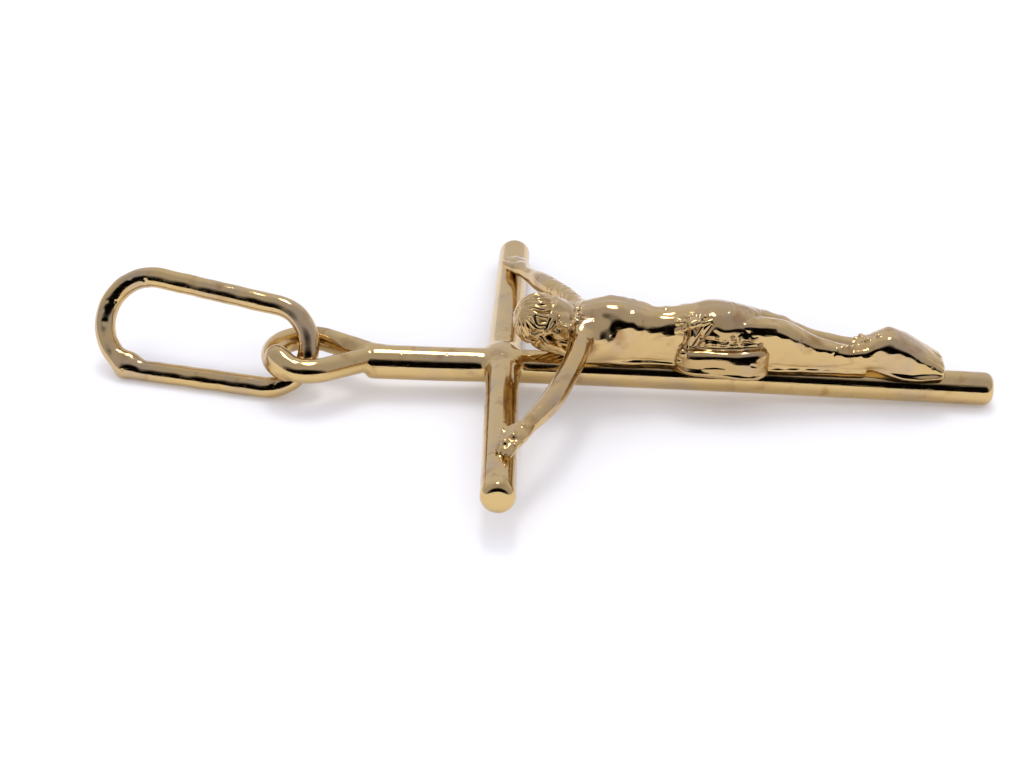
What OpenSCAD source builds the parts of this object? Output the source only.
// Gold crucifix pendant, lying on its back with its loose link standing beside the ring.
// A round wire cross with a looped top, a cast figure soldered on it and one oval link.
// Lengths are millimetres. The cross is drawn with +X to its foot, +Y to its left arm
// and +Z out of its face, and is then laid down on the points that it rests on.

/* [Cross] */
// Diameter of the round wire of the post and the crossbar
rod_d = 1.3; // [1.1:0.05:1.5]
// Length of the post from the crossbar to its foot end
post_foot = 19.2; // [18.4:0.1:24]
// Length of the post from the crossbar to the root of the ring
post_head = 5.4; // [4.6:0.1:8]
// Overall length of the crossbar
bar_l = 20.4; // [18:0.1:26]
// Angle by which each half of the crossbar leans towards the foot
bar_sweep = 0.9; // [0:0.1:2]
// Rounding radius of the ends of the post and the crossbar
end_round = 0.35; // [0.1:0.05:0.5]
// How far the solder stands out round the crossing
solder_out = 0.14; // [0.05:0.01:0.3]

/* [Ring] */
// Diameter of the ring's wire
ring_wire = 0.95; // [0.8:0.05:1.05]
// Radius of the ring to the middle of its wire
ring_bend = 1.4; // [1.35:0.05:1.7]
// Distance from the end of the post to the ring's centre
ring_reach = 2.2; // [2:0.1:2.8]
// Sideways offset of the hand-bent ring, towards the right arm
ring_offset = 0.22; // [0:0.02:0.4]
// How far the ring's free tip stands over the wire end under it
ring_lap = 0.34; // [0.2:0.02:0.5]

/* [Link] */
// Diameter of the loose link's wire
link_wire = 0.78; // [0.6:0.02:0.84]
// Bend radius of the link's wide end, to the middle of the wire
link_wide = 1.86; // [1.7:0.02:2.2]
// Bend radius of the link's end in the ring, to the middle of the wire
link_narrow = 1.63; // [1.55:0.02:1.8]
// Straight length of the side that the link stands on
link_side = 5; // [4:0.1:7]
// Angle of the soldered corner of the link
link_corner = 44; // [20:1:60]
// Lean of the link from upright, towards the left arm
link_lean = 36; // [30:1:40]
// Turn of the link away from the line of the post
link_turn = 11.6; // [5:0.2:16]
// Height of the ring's wire over the lowest side of the link
ring_seat = 0.28; // [0.24:0.02:0.5]
// Offset of the link's wire from the ring's centre, towards the right arm
link_offset = 0.06; // [-0.1:0.02:0.2]

/* [Figure] */
// Length of the figure from the crown of the head to the toes
figure_l = 16.8; // [16:0.1:17.4]
// Distance from the crossbar's line to the crown of the head
crown_x = 0.34; // [0.2:0.02:0.6]
// Width of the chest
chest_w = 2.3; // [2:0.05:2.6]
// Depth of the figure from its flat back to the chest
figure_deep = 2.42; // [2.1:0.02:2.8]
// Height of the flat back over the middle of the post
back_h = 0.75; // [0.7:0.01:0.78]
// Length of the head from crown to chin
head_l = 2.75; // [2.5:0.05:3]
// Bow of the head towards the chest
head_bow = 38; // [25:1:50]
// Turn of the face towards the right arm
head_turn = 30; // [15:1:45]
// Diameter of the upper arms
arm_d = 0.98; // [0.8:0.02:1.1]
// Distance from the post's middle to the right palm
palm_right = 7.3; // [6.6:0.1:8.2]
// Distance from the post's middle to the left palm
palm_left = 6.8; // [6.2:0.1:8.2]
// Width of a palm
palm_w = 0.8; // [0.7:0.02:1]
// Length of the fingers
finger_l = 0.75; // [0.6:0.05:1]
// Thickness of the loincloth over the body
cloth_t = 0.1; // [0.06:0.01:0.16]

/* [Hidden] */
gold = [0.83, 0.66, 0.38];
rod_r = rod_d / 2;
ring_r = ring_wire / 2;
link_r = link_wire / 2;
up_z = [0, 0, 1];
ring_rise = 0.05;
ring_c = [-post_head - ring_reach, -ring_offset, ring_rise];

// Points of the cross in its own frame that touch the surface, and the height of the ring
foot_touch = [post_foot - end_round, 0, -rod_r];
tip_reach = bar_l / 2 - end_round;
tip_touch = [tip_reach * sin(bar_sweep), tip_reach * cos(bar_sweep), -rod_r];
ring_h = link_wire + ring_r + ring_seat;

function unit(v) = v / norm(v);
function flat_part(v, n) = v - (v * n) * n;

// Upward normal of the surface: square to the line from foot to tip, at the ring's height
touch_line = unit(tip_touch - foot_touch);
rest_up = unit(flat_part(up_z, touch_line));
rest_out = cross(rest_up, touch_line);
ring_up = (ring_c - foot_touch) * rest_up;
ring_out = (ring_c - foot_touch) * rest_out;
rest_angle = atan2(ring_out, ring_up) - acos(ring_h / norm([ring_up, ring_out]));
floor_n = cos(rest_angle) * rest_up + sin(rest_angle) * rest_out;
along = unit(flat_part([1, 0, 0], floor_n));
across = cross(floor_n, along);
function laid(p) = let (v = p - foot_touch) [v * along, v * across, v * floor_n];

// Frame of the link: along its lower side, across it in its own plane, and square to it
link_u = [-cos(link_turn), sin(link_turn), 0];
link_w = [sin(link_lean) * sin(link_turn), sin(link_lean) * cos(link_turn), cos(link_lean)];
link_n = cross(link_u, link_w);
ring_laid = laid(ring_c);
narrow_c = [ring_laid.x + link_narrow * link_u.x, ring_laid.y + link_narrow * link_u.y - link_offset,
    link_r + link_narrow * link_w.z];
wide_c = narrow_c + link_side * link_u + (link_wide - link_narrow) * link_w;

// Farthest reach of a rounded rod end, and of a bent wire, in one direction
function rod_reach(p, axis, d) = p * d + (rod_r - end_round) * norm(flat_part(d, axis)) + end_round;
function bend_reach(c, r, d) = c * d + r * norm(flat_part(d, link_n)) + link_r;
function bar_axis(side) = [sin(bar_sweep), side * cos(bar_sweep), 0];
foot_mid = [foot_touch.x, 0, 0] - foot_touch;
function tip_mid(side) = tip_reach * bar_axis(side) - foot_touch;
box_x1 = rod_reach(foot_mid, [1, 0, 0], along);
box_x0 = -bend_reach(wide_c, link_wide, [-1, 0, 0]);
box_y1 = rod_reach(tip_mid(1), bar_axis(1), across);
box_y0 = -rod_reach(tip_mid(-1), bar_axis(-1), -across);
part_shift = [-(box_x0 + box_x1) / 2, -(box_y0 + box_y1) / 2, 0];

// Places on the figure, from shares of its own sizes
chest_r = chest_w / 2;
function body_x(share) = crown_x + share * figure_l;
function body_z(share) = back_h + share * figure_deep;
shoulder_in = 0.82;
shoulder_along = 0.172;
shoulder_high = 0.55;
palm_over = 0.36 * rod_d;
palm_high = rod_r + 0.24 * palm_w;

// Trunk: share of the length, then middle, half width and foot width as shares of half the
// chest, then heights of the back edge, the flank and the top as shares of the depth
trunk_rows = [
    [0.128, -0.02, 0.84, 0.50, 0.10, 0.46, 0.74],
    [0.158, 0.00, 1.02, 0.66, 0.04, 0.48, 0.88],
    [0.200, 0.00, 1.02, 0.78, 0.00, 0.50, 0.98],
    [0.242, 0.00, 0.97, 0.84, 0.00, 0.60, 1.00],
    [0.283, 0.00, 0.92, 0.80, 0.00, 0.61, 0.95],
    [0.325, 0.00, 0.83, 0.72, 0.00, 0.55, 0.86],
    [0.367, 0.00, 0.84, 0.72, 0.00, 0.55, 0.88],
    [0.408, 0.00, 0.95, 0.78, 0.00, 0.56, 0.94],
    [0.456, 0.00, 1.02, 0.84, 0.00, 0.56, 0.97],
    [0.504, 0.00, 0.98, 0.84, 0.00, 0.56, 0.93],
    [0.551, 0.00, 0.78, 0.70, 0.00, 0.46, 0.74],
    [0.600, 0.00, 0.50, 0.50, 0.00, 0.26, 0.42]];
// One leg from the hip to the ankle, in the same columns
leg_rows = [
    [0.462, 0.50, 0.50, 0.40, 0.00, 0.56, 0.84],
    [0.520, 0.49, 0.50, 0.40, 0.00, 0.63, 0.90],
    [0.575, 0.46, 0.47, 0.36, 0.00, 0.66, 0.88],
    [0.622, 0.44, 0.45, 0.34, 0.00, 0.62, 0.83],
    [0.655, 0.43, 0.43, 0.30, 0.00, 0.53, 0.73],
    [0.695, 0.42, 0.38, 0.26, 0.00, 0.38, 0.57],
    [0.740, 0.41, 0.36, 0.24, 0.00, 0.27, 0.455],
    [0.783, 0.39, 0.35, 0.24, 0.00, 0.20, 0.39],
    [0.820, 0.36, 0.34, 0.26, 0.00, 0.22, 0.42]];
// The crossed feet, cast as one block
feet_rows = [
    [0.795, -0.02, 0.66, 0.34, 0.00, 0.18, 0.38],
    [0.831, -0.02, 0.74, 0.46, 0.03, 0.30, 0.54],
    [0.867, 0.00, 0.78, 0.66, 0.08, 0.37, 0.66],
    [0.902, 0.00, 0.81, 0.76, 0.10, 0.31, 0.57],
    [0.938, 0.00, 0.81, 0.80, 0.10, 0.21, 0.43],
    [0.974, 0.00, 0.78, 0.80, 0.07, 0.12, 0.30],
    [1.000, 0.00, 0.72, 0.74, 0.02, 0.06, 0.20]];
// The loincloth round the hips, without its thickness
cloth_rows = [
    [0.388, 0.00, 0.90, 0.78, 0.00, 0.55, 0.90],
    [0.412, 0.00, 0.98, 0.84, 0.00, 0.58, 0.95],
    [0.456, 0.00, 1.04, 0.88, 0.00, 0.60, 0.98],
    [0.504, 0.00, 1.02, 0.88, 0.00, 0.62, 0.95],
    [0.548, 0.02, 0.96, 0.84, 0.00, 0.62, 0.87],
    [0.572, 0.04, 0.92, 0.82, 0.00, 0.60, 0.80]];
// The drape that hangs beside the right thigh
drape_rows = [
    [0.372, -0.66, 0.30, 0.30, 0.00, 0.26, 0.40],
    [0.400, -0.92, 0.30, 0.32, 0.00, 0.30, 0.44],
    [0.450, -1.06, 0.28, 0.34, 0.00, 0.30, 0.42],
    [0.500, -1.12, 0.28, 0.36, 0.00, 0.31, 0.42],
    [0.550, -1.08, 0.30, 0.36, 0.00, 0.33, 0.44],
    [0.590, -0.90, 0.28, 0.34, 0.00, 0.36, 0.48]];
// Arms: share of the way to the wrist, rise of the arm, bow of the right and of the left elbow
// towards the foot, all as shares of the way, and the radius as a share of the upper arm's
arm_rows = [
    [-0.16, -0.010, 0.000, 0.000, 0.86],
    [0.00, 0.010, 0.020, 0.000, 1.06],
    [0.12, 0.016, 0.036, -0.004, 1.02],
    [0.28, 0.014, 0.044, -0.010, 0.92],
    [0.45, 0.010, 0.034, -0.012, 0.84],
    [0.62, 0.006, 0.020, -0.008, 0.84],
    [0.80, 0.002, 0.008, 0.000, 0.74],
    [0.93, 0.000, 0.000, 0.000, 0.60],
    [1.00, 0.000, 0.000, 0.000, 0.58]];
// Folds that fan out from the knot: start and end as places on the cloth, and their width
fold_rows = [
    [0.405, -0.99, 0.70, 0.452, -0.30, 0.985, 0.070],
    [0.405, -0.99, 0.68, 0.478, -0.52, 0.96, 0.080],
    [0.408, -1.00, 0.64, 0.500, -0.76, 0.86, 0.075],
    [0.408, -1.02, 0.60, 0.490, -1.02, 0.66, 0.080],
    [0.404, -1.02, 0.56, 0.382, -0.98, 0.30, 0.075],
    [0.404, -1.02, 0.56, 0.398, -1.10, 0.34, 0.095],
    [0.430, -1.14, 0.46, 0.585, -1.10, 0.46, 0.090],
    [0.420, -1.18, 0.36, 0.560, -1.36, 0.34, 0.080]];
// Balls of a hand: along the arm, towards the head and up, then the radius, as shares of the
// palm's width
palm_rows = [
    [-0.35, 0.00, 0.00, 0.28],
    [0.35, -0.30, 0.00, 0.24],
    [0.35, 0.30, 0.00, 0.24]];
// Joints of a finger: share of its length, then height and radius as shares of the palm's width
finger_rows = [
    [0.00, 0.00, 0.15],
    [0.45, 0.06, 0.14],
    [0.85, -0.16, 0.11]];
// Round forms of the head: place and half sizes as shares of its length, with +X from crown to
// chin and +Z out of the face. A form beside the middle comes on both sides.
skull_form = [0.13, 0, 0.10, 0.33, 0.255, 0.285];
socket_form = [0.035, 0.115, 0.40, 0.06, 0.075, 0.075];
eye_form = [0.035, 0.115, 0.315, 0.045, 0.065, 0.045];
cheek_form = [0.14, 0.13, 0.26, 0.10, 0.08, 0.08];
hair_form = [-0.09, 0, -0.03, 0.41, 0.36, 0.385];
// Ridges of the head: place and radius of each point along them, in the same shares
brow_ridge = [[-0.06, -0.15, 0.31, 0.06], [-0.03, 0, 0.35, 0.06], [-0.06, 0.15, 0.31, 0.06]];
nose_ridge = [[-0.02, 0, 0.36, 0.028], [0.17, 0, 0.45, 0.05]];
nostril_ridge = [[0.175, -0.045, 0.40, 0.035], [0.175, 0.045, 0.40, 0.035]];
upper_lip = [[0.275, -0.05, 0.365, 0.022], [0.275, 0.05, 0.365, 0.022]];
lower_lip = [[0.31, -0.045, 0.36, 0.025], [0.31, 0.045, 0.36, 0.025]];
moustache = [[0.215, 0.01, 0.385, 0.035], [0.265, 0.10, 0.34, 0.035], [0.36, 0.14, 0.27, 0.03]];
jaw_beard = [[0.12, 0.235, 0.12, 0.07], [0.30, 0.19, 0.17, 0.09], [0.46, 0.07, 0.22, 0.08]];
chin_beard = [[0.36, 0.05, 0.30, 0.07], [0.53, 0.05, 0.26, 0.05]];
// The first lock of hair on a side, and how each next one differs from it
lock_rows = [
    [-0.30, 0.12, 0.28, 0.06],
    [-0.12, 0.30, 0.24, 0.075],
    [0.10, 0.33, 0.13, 0.08],
    [0.30, 0.33, 0.10, 0.075],
    [0.48, 0.28, 0.04, 0.05]];
lock_steps = [
    [0.04, 0, -0.13, 0],
    [0, 0, -0.13, 0],
    [0, 0, -0.13, 0],
    [0, -0.03, -0.13, 0],
    [0, -0.04, -0.13, 0]];

// A row part of the way down a table, on a smooth curve through its rows
function row_at(rows, t) = let (
    last = len(rows) - 1,
    i = min(last - 1, floor(t * last)),
    f = t * last - i,
    a = rows[max(0, i - 1)],
    b = rows[i],
    c = rows[i + 1],
    d = rows[min(last, i + 2)])
    b + f * (c - a) / 2 + f * f * (2 * a - 5 * b + 4 * c - d) / 2 + f * f * f * (3 * b - a - 3 * c + d) / 2;
function smooth_rows(rows, count) = [for (i = [0:count]) row_at(rows, i / count)];

// One upright section of a relief: sunk into the post, out to the back edge, up and over
arch_steps = 10;
sunk_half = 0.36;
function relief_section(row, side, grow, sink) = let (
    x = body_x(row[0]),
    mid = side * row[1] * chest_r,
    half = row[2] * chest_r + grow,
    foot = row[3] * chest_r + grow,
    flank = body_z(row[5]),
    top = body_z(row[6]) + grow,
    sunk = min(sunk_half, 0.8 * foot),
    pull = mid * sunk_half / chest_r)
    concat(
        [[x, pull - sunk, sink * rod_r], [x, mid - foot, body_z(row[4])]],
        [for (i = [0:arch_steps])
            let (a = 180 * i / arch_steps)
            [x, mid - half * cos(a), flank + (top - flank) * sin(a)]],
        [[x, mid + foot, body_z(row[4])], [x, pull + sunk, sink * rod_r]]);

// A closed skin over a row of loops that all have the same number of points
module skin(loops) {
    count = len(loops[0]);
    last = len(loops) - 1;
    function at(i, j) = i * count + j % count;
    sides = [for (i = [0:last - 1], j = [0:count - 1])
        each [[at(i, j), at(i, j + 1), at(i + 1, j + 1)], [at(i, j), at(i + 1, j + 1), at(i + 1, j)]]];
    start_cap = [for (j = [count - 1:-1:0]) at(0, j)];
    end_cap = [for (j = [0:count - 1]) at(last, j)];
    polyhedron([for (loop = loops) each loop], concat(sides, [start_cap, end_cap]));
}

module relief(rows, count, sink, side = 1, grow = 0)
    skin([for (row = smooth_rows(rows, count)) relief_section(row, side, grow, sink)]);

// A round tube along points, with a radius for each
function tube_loop(before, p, after, r, sides) = let (
    t = unit(after - before),
    u = unit(cross(t, up_z)),
    v = cross(u, t))
    [for (j = [0:sides - 1]) let (a = 360 * j / sides) p + r * (cos(a) * u + sin(a) * v)];
module tube(points, radii, sides) {
    last = len(points) - 1;
    skin([for (i = [0:last])
        tube_loop(points[max(0, i - 1)], points[i], points[min(last, i + 1)], radii[i], sides)]);
}

// A ball of few facets, and a strand through balls
module ball(p, r, sides = 10) translate(p) sphere(r = r, $fn = sides);
module strand(points, radii, sides = 6)
    for (i = [0:len(points) - 2])
        hull() {
            ball(points[i], radii[i], sides);
            ball(points[i + 1], radii[i + 1], sides);
        }

// A strand through rows of place and radius, on one side of the middle
module ridge(rows, side = 1)
    strand([for (row = rows) [row[0], side * row[1], row[2]]], [for (row = rows) row[3]]);

// A rod along +Z with both ends rounded
rod_sides = 32;
round_steps = 3;
function quarter(z, from) = [for (i = [0:round_steps])
    let (a = from + 90 * i / round_steps)
    [rod_r - end_round + end_round * cos(a), z + end_round * sin(a)]];
module rod(length)
    rotate_extrude($fn = rod_sides)
        polygon(concat([[0, 0]], quarter(end_round, -90), quarter(length - end_round, 0), [[0, length]]));

module post()
    translate([post_foot, 0, 0]) rotate([0, -90, 0]) rod(post_foot + post_head);

module crossbar()
    for (side = [-1, 1])
        rotate([0, 0, side * (90 - bar_sweep)])
            translate([bar_l / 2, 0, 0])
                rotate([0, -90, 0]) rod(bar_l / 2 + rod_r);

module crossing_solder()
    ball([0, 0, 0], rod_r + solder_out, 24);

// The ring: one wire end sweeps round from the left arm's side and tucks under, the other
// comes along the right arm's side and ends in a free tip over it
ring_in_post = 0.5;
ring_root = [-post_head + ring_in_post, 0, 0];
root_reach = norm([ring_root.x - ring_c.x, ring_root.y - ring_c.y]);
root_turn = atan2(ring_root.y - ring_c.y, ring_root.x - ring_c.x);
tangent_turn = acos(ring_bend / root_reach);
function ring_point(a, lift) = ring_c + [ring_bend * cos(a), ring_bend * sin(a), lift];
under_end = 237;
tip_end = 214;
tip_share = 0.75;
ring_steps = 16;
ring_sides = 12;
round_turns = [30, 60, 85];
module ring_wire_along(from, to, lift_at_end) {
    turns = [for (i = [0:ring_steps]) from + (to - from) * i / ring_steps];
    curve = [for (i = [0:ring_steps])
        let (late = max(0, i / ring_steps - 0.5) * 2)
        ring_point(turns[i], lift_at_end * late * late * (3 - 2 * late))];
    tip = unit(curve[ring_steps] - curve[ring_steps - 1]);
    points = concat([ring_root], curve, [for (a = round_turns) curve[ring_steps] + ring_r * sin(a) * tip]);
    radii = concat([for (i = [0:ring_steps + 1]) ring_r], [for (a = round_turns) ring_r * cos(a)]);
    tube(points, radii, ring_sides);
}
module top_ring() {
    ring_wire_along(root_turn + tangent_turn, under_end, (tip_share - 1) * ring_lap);
    ring_wire_along(root_turn - tangent_turn, tip_end - 360, tip_share * ring_lap);
}

// Shoulder, wrist and palm of one side: -1 is the right arm, +1 the left arm
function palm_out(side) = side < 0 ? palm_right : palm_left;
function shoulder(side) = [body_x(shoulder_along), side * shoulder_in * chest_r, body_z(shoulder_high)];
function palm(side) = palm_out(side) * bar_axis(side) + [palm_over, 0, palm_high];
arm_steps = 14;
arm_sides = 14;
module arm(side) {
    reach = palm(side) - shoulder(side);
    bow = unit(cross(reach, up_z)) * side;
    rows = smooth_rows(arm_rows, arm_steps);
    points = [for (row = rows)
        shoulder(side) + row[0] * reach + norm(reach) * (row[1] * up_z + row[side < 0 ? 2 : 3] * bow)];
    tube(points, [for (row = rows) row[4] * arm_d / 2], arm_sides);
}

// A hand laid on the crossbar, its fingers curled over it
finger_start = 0.42;
finger_pitch = 0.22;
thumb_start = 0.3;
module hand(side) {
    c = palm(side);
    out = unit(c - shoulder(side));
    headward = side * unit(cross(up_z, out));
    function place(x, y, z) = c + x * out + y * headward + z * up_z;
    hull()
        for (row = palm_rows * palm_w)
            ball(place(row[0], row[1], row[2]), row[3]);
    for (i = [0:3])
        strand([for (row = finger_rows)
            place(finger_start * palm_w + row[0] * finger_l, (i - 1.5) * finger_pitch * palm_w,
                row[1] * palm_w)],
            [for (row = finger_rows) row[2] * palm_w]);
    thumb = thumb_start * palm_w;
    strand([place(0, thumb, 0), place(0.5 * finger_l, thumb + 0.35 * finger_l, 0)],
        [0.16 * palm_w, 0.12 * palm_w]);
}

// Head, drawn in shares of its length and then turned and scaled
head_mid = 0.5;
head_right = 0.17;
head_high = 0.585;
head_c = [body_x(0) + head_mid * head_l, -head_right * head_l, body_z(head_high)];
module form(row, sides, side = 1)
    translate([row[0], side * row[1], row[2]])
        scale([row[3], row[4], row[5]]) sphere(r = 1, $fn = sides);
module face() {
    difference() {
        union() {
            form(skull_form, 16);
            ridge(brow_ridge);
        }
        for (side = [-1, 1]) form(socket_form, 8, side);
    }
    for (side = [-1, 1]) {
        form(eye_form, 8, side);
        form(cheek_form, 8, side);
        ridge(moustache, side);
    }
    ridge(nose_ridge);
    ridge(nostril_ridge);
    ridge(upper_lip);
    ridge(lower_lip);
}
module beard()
    for (side = [-1, 1]) {
        ridge(jaw_beard, side);
        ridge(chin_beard, side);
    }
module hair() {
    form(hair_form, 20);
    for (side = [-1, 1], i = [0:3]) ridge(lock_rows + i * lock_steps, side);
}
module head()
    translate(head_c)
        rotate([head_turn, 0, 0])
            rotate([0, head_bow, 0])
                scale(head_l) {
                    face();
                    beard();
                    hair();
                }
// The neck, and the hair that lies between the head and the right shoulder
nape = [0.1, 0, -0.2] * head_l;
side_hair = [0.06, -0.12, -0.26] * head_l;
module neck() {
    strand([head_c + nape, [body_x(0.165), 0, body_z(0.52)]], [0.24 * head_l, 0.26 * head_l], 10);
    strand([head_c + side_hair, shoulder(-1)], [0.2 * head_l, 0.3 * arm_d], 10);
}

// Each relief reaches its own depth into the post, so that no two of them share a face
right_leg_sink = 0.68;
left_leg_sink = 0.60;
feet_sink = 0.56;
trunk_sink = 0.72;
cloth_sink = 0.76;
drape_sink = 0.80;
module legs() {
    relief(leg_rows, 16, right_leg_sink, -1);
    relief(leg_rows, 16, left_leg_sink, 1);
}

// The feet, with the heel of the right one
module feet() {
    relief(feet_rows, 14, feet_sink);
    ball([body_x(0.822), -0.62 * chest_r, body_z(0.31)], 0.26 * chest_r, 12);
}

fold_bulge = 1.06;
module loincloth() {
    relief(cloth_rows, 10, cloth_sink, 1, cloth_t);
    relief(drape_rows, 10, drape_sink, 1, cloth_t);
    for (row = fold_rows)
        strand([[body_x(row[0]), row[1] * chest_r, body_z(row[2])],
            [body_x((row[0] + row[3]) / 2), (row[1] + row[4]) / 2 * fold_bulge * chest_r,
                body_z((row[2] + row[5]) / 2) + cloth_t / 2],
            [body_x(row[3]), row[4] * chest_r, body_z(row[5])]],
            [row[6] * chest_r + cloth_t / 2, row[6] * chest_r + cloth_t / 2, 0.6 * row[6] * chest_r]);
    ball([body_x(0.403), -1.04 * chest_r, body_z(0.62)], 0.17 * chest_r + cloth_t, 12);
}

module corpus() {
    relief(trunk_rows, 24, trunk_sink);
    legs();
    feet();
    for (side = [-1, 1]) {
        arm(side);
        hand(side);
    }
    neck();
    head();
    loincloth();
}

// Takes what is drawn in the cross's own frame to where it lies
module lay_down()
    translate(part_shift)
        multmatrix([
            [along.x, along.y, along.z, -foot_touch * along],
            [across.x, across.y, across.z, -foot_touch * across],
            [floor_n.x, floor_n.y, floor_n.z, -foot_touch * floor_n]])
            children();

module crucifix()
    color(gold)
        lay_down() {
            post();
            crossbar();
            crossing_solder();
            top_ring();
            corpus();
        }

// The link's line, drawn flat: x along its lower side from the ring, y across it
bend_steps = 14;
link_sides = 16;
function bend_points(c, r, from, to) = [for (i = [0:bend_steps])
    let (a = from + (to - from) * i / bend_steps)
    c + r * [cos(a), sin(a), 0]];
link_line = let (
    taper = 2 * atan2(link_wide - link_narrow, link_side),
    corner = [link_side + link_wide * tan(link_corner / 2), 0, 0])
    concat(
        [corner],
        bend_points([link_side, link_wide, 0], link_wide, link_corner - 90, 90 + taper),
        bend_points([0, link_narrow, 0], link_narrow, 90 + taper, 270));

// A round wire bent to a closed flat line
module closed_wire(line, r, sides) {
    last = len(line) - 1;
    loops = [for (i = [0:last]) let (
        t = unit(line[i == last ? 0 : i + 1] - line[i == 0 ? last : i - 1]),
        u = [t.y, -t.x, 0])
        [for (j = [0:sides - 1]) let (a = 360 * j / sides) line[i] + r * (cos(a) * u + sin(a) * up_z)]];
    function at(i, j) = (i % (last + 1)) * sides + j % sides;
    polyhedron([for (loop = loops) each loop],
        [for (i = [0:last], j = [0:sides - 1])
            each [[at(i, j), at(i, j + 1), at(i + 1, j + 1)], [at(i, j), at(i + 1, j + 1), at(i + 1, j)]]]);
}
module bail_link()
    color(gold)
        translate(part_shift + narrow_c - link_narrow * link_w)
            multmatrix([
                [link_u.x, link_w.x, link_n.x, 0],
                [link_u.y, link_w.y, link_n.y, 0],
                [link_u.z, link_w.z, link_n.z, 0]])
                closed_wire(link_line, link_r, link_sides);

crucifix();
bail_link();
